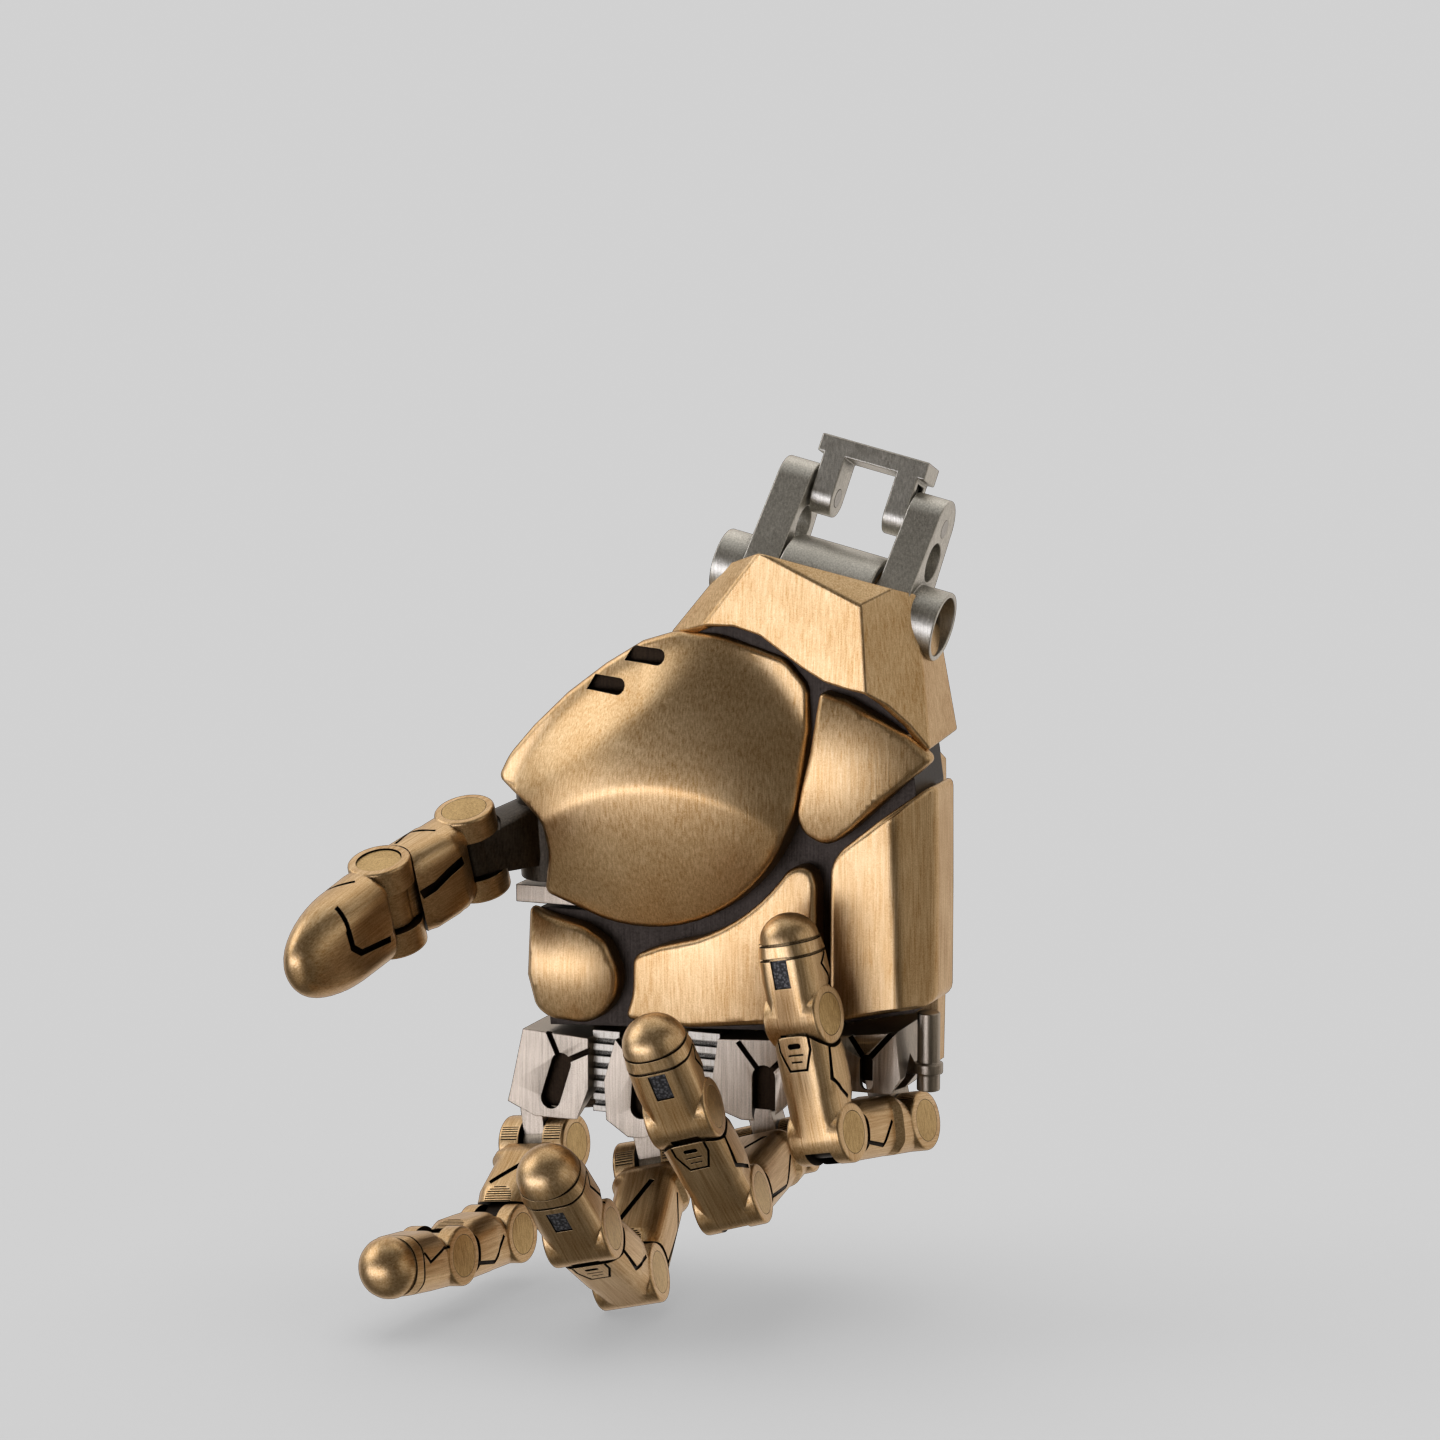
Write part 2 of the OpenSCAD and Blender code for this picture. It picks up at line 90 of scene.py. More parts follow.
def worn_metal(name, light, dark, patina, roughness, grit=0.25, hollow=1.5, own_grain=True):
    """Metal brushed along its own Z, with a fine cast grain, dark hollows and rubbed edges."""
    material = bpy.data.materials.new(name)
    material.use_nodes = True
    tree = material.node_tree
    shader = tree.nodes["Principled BSDF"]
    if own_grain:
        where = add(tree, "Attribute", attribute_name="grain").outputs["Vector"]
    else:
        place = add(tree, "TexCoord").outputs["Object"]
        where = add(tree, "VectorMath", {0: place, "Scale": 1 / MM}, operation="SCALE").outputs[0]
    # brush strokes about a third of a millimetre wide and eight long, drawn coarse enough to show
    along = add(tree, "Mapping", {"Vector": where, "Scale": (2.9, 2.9, 0.12)}).outputs[0]
    strokes = add(tree, "TexNoise", {"Vector": along, "Scale": 1, "Detail": 3}).outputs[0]
    speckle = add(tree, "TexNoise", {"Vector": where, "Scale": 1 / grit, "Detail": 2}).outputs[0]
    cloud = add(tree, "TexNoise", {"Vector": where, "Scale": 0.09, "Detail": 4}).outputs[0]
    # hollows keep the black of the oxidising bath
    shade = add(tree, "AmbientOcclusion", {"Distance": hollow * MM}, samples=4, only_local=True)
    uneven = add(tree, "Math", {0: speckle, 1: 0.35, 2: shade.outputs["AO"]}, operation="MULTIPLY_ADD")
    black = add(tree, "MapRange", {0: uneven.outputs[0], 1: 0.98, 2: 0.62, 3: 0, 4: 1}).outputs[0]
    # edges are rubbed bright: there the rounded normal leaves the surface's own
    rounded = add(tree, "Bevel", {"Radius": 0.22 * MM}, samples=4).outputs[0]
    flat = add(tree, "NewGeometry").outputs["Normal"]
    bend = add(tree, "VectorMath", {0: rounded, 1: flat}, operation="DOT_PRODUCT").outputs["Value"]
    edge = add(tree, "MapRange", {0: bend, 1: 0.99, 2: 0.8, 3: 0, 4: 0.6}).outputs[0]
    fine = add(tree, "Math", {0: speckle, 1: 0.7, 2: strokes}, operation="MULTIPLY_ADD").outputs[0]
    mixed = add(tree, "Math", {0: cloud, 1: 0.5, 2: fine}, operation="MULTIPLY_ADD").outputs[0]
    tone = add(tree, "MapRange", {0: mixed, 1: 0.75, 2: 1.4, 3: 0, 4: 1}).outputs[0]
    body = add(tree, "Mix", {0: tone, 6: linear(dark), 7: linear(light)}, data_type="RGBA").outputs[2]
    worn = add(tree, "Mix", {0: edge, 6: body, 7: linear(light)}, data_type="RGBA").outputs[2]
    color = add(tree, "Mix", {0: black, 6: worn, 7: linear(patina)}, data_type="RGBA").outputs[2]
    rough = add(tree, "Math", {0: strokes, 1: 0.16, 2: roughness - 0.08}, operation="MULTIPLY_ADD")
    duller = add(tree, "Math", {0: black, 1: 0.25, 2: rough.outputs[0]}, operation="MULTIPLY_ADD")
    relief = add(tree, "Math", {0: speckle, 1: 0.9, 2: strokes}, operation="MULTIPLY_ADD").outputs[0]
    bump = add(tree, "Bump", {"Height": relief, "Normal": rounded, "Strength": 0.35,
                              "Distance": 0.06 * MM})
    shader.inputs["Metallic"].default_value = 1
    tree.links.new(color, shader.inputs["Base Color"])
    tree.links.new(duller.outputs[0], shader.inputs["Roughness"])
    tree.links.new(bump.outputs[0], shader.inputs["Normal"])
    return material


def cast_copy(node, edge):
    """A CAD node's mesh in millimetres, with the sharp edges rounded as a casting's are."""
    bm = bmesh.new()
    bm.from_mesh(frame["nodes"][node].data)
    bmesh.ops.scale(bm, vec=Vector((1, 1, 1)) / MM, verts=bm.verts)
    bmesh.ops.remove_doubles(bm, verts=bm.verts, dist=0.005)
    bmesh.ops.dissolve_limit(bm, angle_limit=math.radians(1), verts=bm.verts, edges=bm.edges)
    sharp = [e for e in bm.edges if e.is_manifold and e.calc_face_angle() > math.radians(30)]
    bmesh.ops.bevel(bm, geom=sharp, offset=edge, affect="EDGES", segments=2, profile=0.5,
                    material=-1, clamp_overlap=True)
    return bm


def lay(bm, name, body, materials, at=WHOLE, sharp=38):
    """Makes a piece of a mesh in millimetres, lays it in place and lets it ride on its body."""
    grain = bm.verts.layers.float_vector.new("grain")
    for vert in bm.verts:
        vert[grain] = vert.co
    bmesh.ops.transform(bm, matrix=Matrix.Scale(MM, 4) @ at, verts=bm.verts)
    mesh = bpy.data.meshes.new(name)
    bm.to_mesh(mesh)
    bm.free()
    for material in materials:
        mesh.materials.append(material)
    mesh.shade_smooth()
    mesh.set_sharp_from_angle(angle=math.radians(sharp))
    piece = bpy.data.objects.new(name, mesh)
    bpy.context.scene.collection.objects.link(piece)
    normals = piece.modifiers.new("flat_faces", "WEIGHTED_NORMAL")
    normals.keep_sharp = True
    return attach(piece, body)


# Oxidised nickel silver: grey and faintly green, black in its hollows, satin where it is rubbed
oxidised = worn_metal("oxidised_nickel_silver", "#dedbd2", "#a29f96", "#1d1c1a", 0.4, hollow=4)
yoke = lay(cast_copy("wrist_yoke", 0.45), "yoke_casting", "wrist_yoke", [oxidised])
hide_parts("wrist_yoke")

# ---- Link, its pins, barrel and bushes -------------------------------------------------------
# The link is a milled nickel-silver bridge on two steel pins; the barrel is bolted to the palm
# and turns on the yoke's tube in two turned bronze bushes.

link = lay(cast_copy("wrist_link", 0.35), "link_bridge", "wrist_link", [oxidised])
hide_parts("wrist_link")
barrel = lay(cast_copy("wrist_barrel", 0.4), "barrel_casting", "palm", [oxidised])
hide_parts("wrist_barrel")
# Turned tin bronze: browner than the brass, with a satin lathe finish
bronze = worn_metal("turned_bronze", "#a9824e", "#7c5a31", "#221a14", 0.36, own_grain=False)
# Ground steel: hard, grey and even, with fine scratches from the stone
steel = worn_metal("ground_steel", "#b9b6b0", "#8d8a85", "#262422", 0.3, own_grain=False)


def coat(node, material):
    """Gives a CAD node that keeps its shape its real finish."""
    slots = frame["nodes"][node].data.materials
    slots.clear()
    slots.append(material)


coat("wrist_bushes", bronze)
coat("link_pins", steel)

# ---- Palm frame ------------------------------------------------------------------------------
# The backbone of the hand: a blackened cast slab that every plate is screwed to. Only its face
# shows, at the bottom of the dark gaps between the plates.

# Blackened aluminium casting: near black, slightly glossy, with a sandy grain
blackened = worn_metal("blackened_casting", "#3a3430", "#1c1815", "#0e0c0b", 0.42, grit=0.4,
                       own_grain=False)
coat("palm_frame", blackened)

# ---- Palm plates -----------------------------------------------------------------------------
# Five pressed brass plates, 3 to 12 mm proud of the frame, with rolled rims. They are brushed
# lengthways, then blackened and wiped, so that the gaps and hollows stay dark.

# Brushed brass: warm gold with long strokes and a fine orange-peel grain
brass = worn_metal("brushed_brass", "#e4c79c", "#a87f48", "#2a2016", 0.36)
# Brass left black from the bath, inside grooves that the cloth doesn't reach
patina = worn_metal("blackened_brass", "#33291f", "#1d1713", "#120e0c", 0.5, grit=0.4)
PLATE_BACK = -9.0      # face of the frame


def arc(x, z, r, start, end, steps):
    """Points round a centre, from one angle to another in degrees."""
    turn = [math.radians(start + (end - start) * i / steps) for i in range(steps + 1)]
    return [(x + r * math.cos(a), z + r * math.sin(a)) for a in turn]


def rolled(depth, rim):
    """How far a rolled rim has dropped at a distance in from the edge."""
    return rim - math.sqrt(max(rim * rim - (rim - min(depth, rim)) ** 2, 0))


def plate(outline, front, rim=1.1, corner=1.5, step=1.1, back=PLATE_BACK):
    """A closed plate: an outline in X and Z, a face at front(x, z), and a rolled rim."""
    bm = bmesh.new()
    face = bm.faces.new([bm.verts.new((x, 0, z)) for x, z in outline])
    turns = [v for v in bm.verts if v.calc_edge_angle() > math.radians(14)]
    bmesh.ops.bevel(bm, geom=turns, offset=corner, affect="VERTICES", segments=4, profile=0.5,
                    material=-1, clamp_overlap=True)
    bmesh.ops.remove_doubles(bm, verts=bm.verts, dist=0.05)
    face = bm.faces[:][0]
    drop = {v: rolled(0, rim) for v in bm.verts}
    depth = 0
    for width in (0.12, 0.28, 0.35, 0.45):
        inner = set(bm.verts)
        bmesh.ops.inset_individual(bm, faces=[face], thickness=width, use_even_offset=True)
        depth += width
        drop.update({v: rolled(depth, rim) for v in set(bm.verts) - inner})
    low = Vector([min(v.co[i] for v in bm.verts) for i in range(3)])
    high = Vector([max(v.co[i] for v in bm.verts) for i in range(3)])
    for axis in (0, 2):
        normal = Vector((axis == 0, 0, axis == 2))
        for i in range(1, int((high[axis] - low[axis]) / step)):
            inside = [f for f in bm.faces if all(drop.get(v, 0) < 0.01 for v in f.verts)]
            geom = inside + list({e for f in inside for e in f.edges})
            geom += list({v for f in inside for v in f.verts})
            at = low + normal * (i * step)
            bmesh.ops.bisect_plane(bm, geom=geom, dist=0.001, plane_co=at, plane_no=normal)
    for vert in bm.verts:
        vert.co.y = front(vert.co.x, vert.co.z) + drop.get(vert, 0)
    bmesh.ops.triangulate(bm, faces=[f for f in bm.faces if len(f.verts) > 4])
    border = [e for e in bm.edges if e.is_boundary]
    skirt = bmesh.ops.extrude_edge_only(bm, edges=border)["geom"]
    for vert in skirt:
        if isinstance(vert, bmesh.types.BMVert):
            vert.co.y = back
    bmesh.ops.contextual_create(bm, geom=[e for e in bm.edges if e.is_boundary])
    bmesh.ops.recalc_face_normals(bm, faces=bm.faces)
    return bm


def along_y(a, b, depth):
    """A point of an outline drawn in X and Z."""
    return Vector((a, depth, b))


def prism(bm, outline, space, near, far):
    """Adds a closed prism: an outline in two axes, from near to far along the third."""
    face = bm.faces.new([bm.verts.new(space(a, b, near)) for a, b in outline])
    swept = bmesh.ops.extrude_face_region(bm, geom=[face])["geom"]
    verts = [v for v in swept if isinstance(v, bmesh.types.BMVert)]
    bmesh.ops.translate(bm, vec=space(0, 0, far) - space(0, 0, near), verts=verts)


def carve(bm, tool, how="DIFFERENCE", finish=1):
    """One closed mesh less another, or joined with it. Cut faces take a material slot."""
    for face in tool.faces:
        face.material_index = finish
    pair = []
    for part in (bm, tool):
        bmesh.ops.recalc_face_normals(part, faces=part.faces)
        mesh = bpy.data.meshes.new("part")
        part.to_mesh(mesh)
        part.free()
        for _ in range(3):
            mesh.materials.append(None)
        pair.append(bpy.data.objects.new("part", mesh))
        bpy.context.scene.collection.objects.link(pair[-1])
    cut = pair[0].modifiers.new("cut", "BOOLEAN")
    cut.operation = how
    cut.object = pair[1]
    cut.solver = "EXACT"
    cut.use_self = True
    shape = pair[0].evaluated_get(bpy.context.evaluated_depsgraph_get())
    result = bmesh.new()
    result.from_mesh(shape.to_mesh())
    for part in pair:
        mesh = part.data
        bpy.data.objects.remove(part)
        bpy.data.meshes.remove(mesh)
    bmesh.ops.remove_doubles(result, verts=result.verts, dist=0.003)
    return result


# The mound of the thumb: a dome with a slanting ridge above and a swelling below an arc
MOUND_TOP = -21.5      # its highest point stands this far out
MOUND_MIDDLE = (-30, -33)
MOUND_DROP = 11.2      # how far its face falls back before it levels out
THENAR = [(-69, -40), (-63.5, -43.5), (-57, -47.5), (-56, -54), (-58.5, -63)]
THENAR += arc(-37, -33, 35.5, -104, -10, 16)
THENAR += [(-1, -26), (-1.5, -17), (-6, -12), (-20.5, -7.8), (-30, -7.7), (-37, -10),
           (-45, -15), (-53.5, -21.5), (-61, -28.7), (-66.5, -35)]


def past(depth, blur):
    """How far a depth is past zero, with the corner at zero rounded."""
    return 0.5 * (depth + math.sqrt(depth * depth + blur * blur))


def thenar_front(x, z):
    """Face of the thumb mound at a point."""
    across = x - MOUND_MIDDLE[0]
    down = z - MOUND_MIDDLE[1]
    fall = across * across / (190 if across < 0 else 150) + down * down / (130 if down < 0 else 220)
    # above an arc the face leans back
    fall += 0.25 * past(down + 5 + across * across / 76, 0.4)
    # above a slanting ridge, which fades out to the right, it leans back more
    ridge = 0.822 * (z + 43.4) - 0.570 * (x + 63.4)
    fall += 0.3 * min(max((-18 - x) / 18, 0), 1) * past(ridge, 2)
    return MOUND_TOP + fall - past(fall - MOUND_DROP, 1.5)


thenar = plate(THENAR, thenar_front, step=0.9)
SLOT = [(-4.9, -1.6), (2.7, -1.6)] + arc(2.7, 0, 1.6, -70, 70, 5) + [(2.7, 1.6), (-3.3, 1.6)]
SLOT_TILT = Matrix.Rotation(math.radians(-3), 2)
slots = bmesh.new()
for middle in ((-35.6, -12.7), (-43.8, -19)):
    tilted = [tuple(Vector(middle) + SLOT_TILT @ Vector(point)) for point in SLOT]
    prism(slots, tilted, along_y, -40, PLATE_BACK - 0.6)
thenar = carve(thenar, slots)
thenar = lay(thenar, "thumb_mound_plate", "palm", [brass, patina])
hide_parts("thenar_plate")

# The plates of the little finger's side, the middle of the palm and below the index finger
ULNAR_UPPER = [(1.7, -17.6), (7.4, -19), (14.7, -22.7), (20, -26), (24.8, -30.4), (19, -35.8),
               (9.5, -44.7), (5.3, -48), (2.6, -48.5), (-1.2, -46.4), (-2.5, -43), (-1.2, -37),
               (0.5, -29.7)]
ULNAR_LOWER = [(4.9, -51.6), (7.4, -48.8), (14.8, -42.7), (20, -38.7), (24.4, -35.4), (24.6, -58),
               (24.6, -80.6), (10.6, -83), (4.8, -84.5)]
CENTER = [(-37.8, -74), (-31.6, -71.5)] + arc(-37, -33, 38.7, -70, -32, 8)
CENTER += [(-0.2, -53), (1.6, -56), (1.8, -84.8), (-25.4, -88), (-40, -87.6), (-38, -82)]
INDEX_MOUND = [(-62, -66), (-57, -67.4), (-49, -69), (-44, -72)]
INDEX_MOUND += arc(-51.5, -79.6, 10, 15, -80, 12)
INDEX_MOUND += [(-57, -89), (-60, -87), (-61.5, -80)]


def ball_front(x0, y0, z0, r):
    """The near face of a ball, for a domed plate."""
    def front(x, z):
        return y0 - math.sqrt(max(r * r - (x - x0) ** 2 - (z - z0) ** 2, 1))
    return front


def ulnar_lower_front(x, z):
    """A flat face that turns back along a crease towards the hand's edge."""
    crease = 18 + (-41 - z) * 0.05
    turn = min(past(x - crease, 0.6) / (24.6 - crease), 1.1)
    return -14.6 + 0.05 * (x - 5) + 8 * turn


PLATES = (("little_side_upper_plate", "ulnar_upper_plate", ULNAR_UPPER, ball_front(1, 40, -35, 55), -7.4),
          ("little_side_lower_plate", "ulnar_lower_plate", ULNAR_LOWER, ulnar_lower_front, 4),
          ("palm_middle_plate", "palm_center_plate", CENTER, ball_front(-18, 185, -72, 200), PLATE_BACK),
          ("index_root_plate", "index_mound_plate", INDEX_MOUND, ball_front(-52, 12, -78, 27), PLATE_BACK))
PLATE_CORNER = 2.4     # how far a corner is rounded
FRAME_SIDE = 21.1      # the frame's little finger side
for name, node, outline, front, back in PLATES:
    shape = plate(outline, front, corner=PLATE_CORNER, back=back)
    if back > PLATE_BACK:
        room = bmesh.new()
        block = [(-60, -100), (FRAME_SIDE, -100), (FRAME_SIDE, 0), (-60, 0)]
        prism(room, block, along_y, PLATE_BACK, 20)
        shape = carve(shape, room, finish=0)
    piece = lay(shape, name, "palm", [brass, patina])
    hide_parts(node)

# ---- Wrist cuff ------------------------------------------------------------------------------
# A faceted brass shell over the wrist, folded from one sheet and open at the top and the back,
# so that the yoke's arms can swing. Its lower edge follows the plates below it.

CUFF_WALL = 2.4
CUFF = {"peak": (-11, -12.6, 9.6), "brow": (11.7, -16, 0.5), "top": (16.6, -9.6, 3.3),
        "chin": (13.3, -17.5, -16.8), "hip": (23.9, -9, -28.6), "left": (-23, -12.3, -5.8),
        "far_left": (-31.8, -8, -8.4), "left_top": (-20.6, -5.2, 6), "side_top": (19.2, -4, 1.6),
        "side_low": (24.3, 7, -27), "back_left": (-31, 5, -10), "back_top_left": (-21, 5, 2),
        "back_top_right": (20.6, 6, -6)}
CUFF_EDGE = {"e1": (-16.4, -12.9, -5.6), "e2": (-10.4, -13.8, -7), "e3": (-5.2, -14.7, -10.1),
             "e4": (-0.9, -15.4, -12.7), "e5": (4.2, -16.2, -15.2), "e6": (9.3, -16.9, -16.3),
             "e7": (17, -14.5, -19.5), "e8": (20.7, -11.7, -23.7)}
CUFF_FACES = (("peak", "left_top", "far_left", "left"),
              ("peak", "left", "e1", "e2", "e3", "e4", "e5", "e6", "chin", "brow"),
              ("peak", "brow", "top"),
              ("brow", "chin", "e7", "e8", "hip", "side_top", "top"),
              ("side_top", "hip", "side_low", "back_top_right"),
              ("left_top", "back_top_left", "back_left", "far_left"))
cuff = bmesh.new()
corner = {key: cuff.verts.new(place) for key, place in {**CUFF, **CUFF_EDGE}.items()}
for names in CUFF_FACES:
    cuff.faces.new([corner[key] for key in names])
bmesh.ops.recalc_face_normals(cuff, faces=cuff.faces)
if sum(f.normal.y * f.calc_area() for f in cuff.faces) > 0:
    bmesh.ops.reverse_faces(cuff, faces=cuff.faces)
bmesh.ops.solidify(cuff, geom=cuff.faces, thickness=CUFF_WALL)
folds = [e for e in cuff.edges if e.is_manifold and e.calc_face_angle() > math.radians(8)]
bmesh.ops.bevel(cuff, geom=folds, offset=0.55, affect="EDGES", segments=3, profile=0.5, material=-1,
                clamp_overlap=True)
cuff_piece = lay(cuff, "cuff_shell", "palm", [brass, patina])
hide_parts("wrist_cuff")

# ---- Back of the hand ------------------------------------------------------------------------
# Two flat brass plates, bevelled and screwed to the frame from behind with socket screws.

def strip(points, width):
    """The outline of a groove of that width along a line of points, with mitred corners."""
    line = [Vector(p) for p in points]
    left = []
    right = []
    for i, point in enumerate(line):
        come = (point - line[i - 1]).normalized() if i else (line[1] - line[0]).normalized()
        go = (line[i + 1] - point).normalized() if i < len(line) - 1 else come
        side = Vector((-come.y - go.y, come.x + go.x)) / (1 + come.dot(go))
        left.append(point + side * width / 2)
        right.append(point - side * width / 2)
    return left + right[::-1]


joints = {j["name"]: j for j in frame["joints"]}
FINGERS = ("index", "middle", "ring", "little")


def joint_place(name):
    """A joint's place in millimetres."""
    return Vector(joints[name]["pos_m"]) / MM


TENDON_WIDTH = 1.4
TENDON_DEPTH = 0.7
BACK_PLATES = {"dorsal_upper_plate": "back_upper_plate", "dorsal_lower_plate": "back_lower_plate"}
for node, name in BACK_PLATES.items():
    shape = cast_copy(node, 0.9)
    low, high = (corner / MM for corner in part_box(node))
    grooves = bmesh.new()
    for finger in FINGERS:
        knuckle = joint_place(finger + "_knuckle_bend")
        # each line of grooves points from its knuckle to the wrist, as the tendons of a hand do
        ends = [knuckle * share for share in (0.84, 0.57, 0.52, 0.3)]
        for a, b in zip(ends[::2], ends[1::2]):
            if low.z + 3 < b.z and a.z < high.z - 3:
                # the little finger's lower groove passes beside a screw
                aside = 6 if finger == "little" and node == "dorsal_lower_plate" else 3
                line = [(a.x + aside, max(a.z, low.z + 4)), (b.x + aside, min(b.z, high.z - 4))]
                prism(grooves, strip(line, TENDON_WIDTH), along_y, high.y - TENDON_DEPTH, high.y + 1)
    piece = lay(carve(shape, grooves), name, "palm", [brass, patina])
    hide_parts(node)
coat("plate_screws", steel)

# ---- Knuckle blocks, spacers and post --------------------------------------------------------
# Four silver castings bolted under the frame, each with a Y-shaped groove and a rod groove on
# its face and a hinge tongue below. Dark ribbed spacers fill the gaps between them.

BLOCK_FACE = -13.0     # front of the blocks
ARM_WIDTH = 1.2        # the two arms of the groove
ARM_DEPTH = 1.1
ROD_DEPTH = 2.0
# from each knuckle: the head of the rod groove, the ends of the two arms, the foot and the width
Y_GROOVES = {"index": ((9.5, 21), (6.5, 27.8), (19.6, 26), (7.1, 13.4), 4.4),
             "middle": ((2, 23), (-4, 30.4), (9, 29.5), (1.5, 15.5), 4.4),
             "ring": ((2.4, 18.5), (-3.2, 25.4), (8.8, 24.8), (2.4, 10.9), 5),
             "little": ((-1.2, 15.7), (-4.6, 20.6), (5.2, 23), (-1.2, 11.3), 2.8)}
# Cast nickel silver, rubbed bright on its faces and black in its grooves
nickel = worn_metal("cast_nickel_silver", "#b5a99a", "#7d756a", "#1d1b1a", 0.34, hollow=1.4)
for finger in FINGERS:
    block = cast_copy(finger + "_knuckle", 0.5)
    x0, _, z0 = joint_place(finger + "_knuckle_bend")
    fork, left_end, right_end, foot, wide = Y_GROOVES[finger]
    grooves = bmesh.new()
    for end in (left_end, right_end):
        line = [(x0 + end[0], z0 + end[1]), (x0 + fork[0], z0 + fork[1])]
        prism(grooves, strip(line, ARM_WIDTH), along_y, BLOCK_FACE - 2, BLOCK_FACE + ARM_DEPTH)
    run = Vector((foot[0] - fork[0], foot[1] - fork[1]))
    ahead = math.degrees(math.atan2(run.y, run.x))
    ends = arc(x0 + foot[0], z0 + foot[1], wide / 2, ahead - 90, ahead + 90, 10)
    ends += arc(x0 + fork[0], z0 + fork[1], wide / 2, ahead + 90, ahead + 270, 10)
    prism(grooves, ends, along_y, BLOCK_FACE - 2, BLOCK_FACE + ROD_DEPTH)
    block = carve(block, grooves)
    block = lay(block, finger + "_knuckle_block", "palm", [nickel, patina])
    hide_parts(finger + "_knuckle")
# Ribs of the spacers: nickel silver again, but blackened deep in the slots
ribbed = worn_metal("ribbed_nickel_silver", "#b5b0a6", "#7b766d", "#0d0c0c", 0.32, hollow=2.2,
                    own_grain=False)
coat("knuckle_spacers", ribbed)
post = lay(cast_copy("ulnar_post", 0.3), "edge_post", "palm", [nickel])
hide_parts("ulnar_post")
bracket = lay(cast_copy("thumb_bracket", 0.4), "thumb_root_bracket", "palm", [nickel])
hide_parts("thumb_bracket")

# ---- Finger bones ----------------------------------------------------------------------------
# Each phalanx is a brass casting: two round ears above, an eight-sided body with engraved and
# blackened lines, and a dark hinge tongue below. They are modelled upright, in millimetres.


def hinge_frame(origin, pin, tip):
    """A frame at a hinge: X along the pin, -Z to the tip and -Y to the palm side."""
    z = (origin - tip).normalized()
    x = (pin - pin.project(z)).normalized()
    return Matrix.Translation(origin) @ Matrix((x, z.cross(x), z)).transposed().to_4x4()


def farthest(node, start):
    """The point of a CAD node that is farthest from another point."""
    points = [v.co / MM for v in frame["nodes"][node].data.vertices]
    return max(points, key=lambda point: (point - start).length)


def span(node, at):
    """Lowest and highest corner of a CAD node in a frame of its own."""
    inside = at.inverted()
    points = [inside @ (v.co / MM) for v in frame["nodes"][node].data.vertices]
    low = Vector([min(p[i] for p in points) for i in range(3)])
    high = Vector([max(p[i] for p in points) for i in range(3)])
    return low, high


def along_x(a, b, depth):
    """A point of an outline drawn in Y and Z."""
    return Vector((depth, a, b))


def section(angle, half, back, front, chamfer, roundness):
    """Reach of an eight-sided section in one direction; roundness 1 makes it an oval."""
    depth = back if math.sin(angle) > 0 else front
    slope = (half + depth - chamfer) / math.sqrt(2)
    power = 18
    sides = abs(math.cos(angle) / half) ** power + abs(math.sin(angle) / depth) ** power
    sides += abs(math.cos(angle - math.pi / 4) / slope) ** power
    sides += abs(math.cos(angle + math.pi / 4) / slope) ** power
    oval = 1 / math.hypot(math.cos(angle) / half, math.sin(angle) / depth)
    return (1 - roundness) * sides ** (-1 / power) + roundness * oval


def loft(stations, chamfer, rounds=64):
    """A closed body through sections: each is z, half width, back, front, roundness, chevron."""
    bm = bmesh.new()
    ring = bmesh.ops.create_circle(bm, segments=rounds, radius=1)["verts"]
    edges = list({e for v in ring for e in v.link_edges})
    for i, (z, half, back, front, roundness, chevron) in enumerate(stations):
        if i:
            swept = bmesh.ops.extrude_edge_only(bm, edges=edges)["geom"]
            ring = [v for v in swept if isinstance(v, bmesh.types.BMVert)]
            edges = [e for e in swept if isinstance(e, bmesh.types.BMEdge)]
        for vert in ring:
            angle = math.atan2(vert.co.y, vert.co.x)
            far = section(angle, half, back, front, chamfer, roundness)
            lift = chevron * max(-math.sin(angle), 0) * (1 - abs(math.cos(angle)))
            vert.co = Vector((far * math.cos(angle), far * math.sin(angle), z + lift))
    bmesh.ops.holes_fill(bm, edges=[e for e in bm.edges if e.is_boundary], sides=0)
    return bm


def disc(r, wide, rim):
    """A hinge disc along X with rounded rims."""
    bm = bmesh.new()
    prism(bm, arc(0, 0, r, 0, 352.5, 47), along_x, -wide / 2, wide / 2)
    rims = [e for e in bm.edges if abs(e.verts[0].co.x - e.verts[1].co.x) < 0.01]
    bmesh.ops.bevel(bm, geom=rims, offset=rim, affect="EDGES", segments=3, profile=0.5, material=-1)
    return bm


GROOVE = 0.62          # width of an engraved line
CUT = 0.55             # depth of an engraved line
CAP_WALL = 1.0         # wall behind a tongue, on the back of the finger
TONGUE_GAP = 0.4       # space round a tongue
PIN_HEAD = 1.05        # depth of the seat of a pin's head


def hinge_room(tool, r, slot_wide, wide, head):
    """Cuts of an upper hinge: the slot for the tongue above and the seats of the pin's heads."""
    half = slot_wide / 2
    prism(tool, arc(0, 0, r - CAP_WALL, 0, 352.5, 47), along_x, -half, half)
    prism(tool, [(0, 0), (9, 4.3), (9, 12), (-12, 12), (-12, -5.2), (0, -4.7)], along_x, -half, half)
    for side in (-1, 1):
        near, far = sorted((side * (wide / 2 - PIN_HEAD), side * (wide / 2 + 1)))
        prism(tool, arc(0, 0, head, 0, 352.5, 47), along_x, near, far)


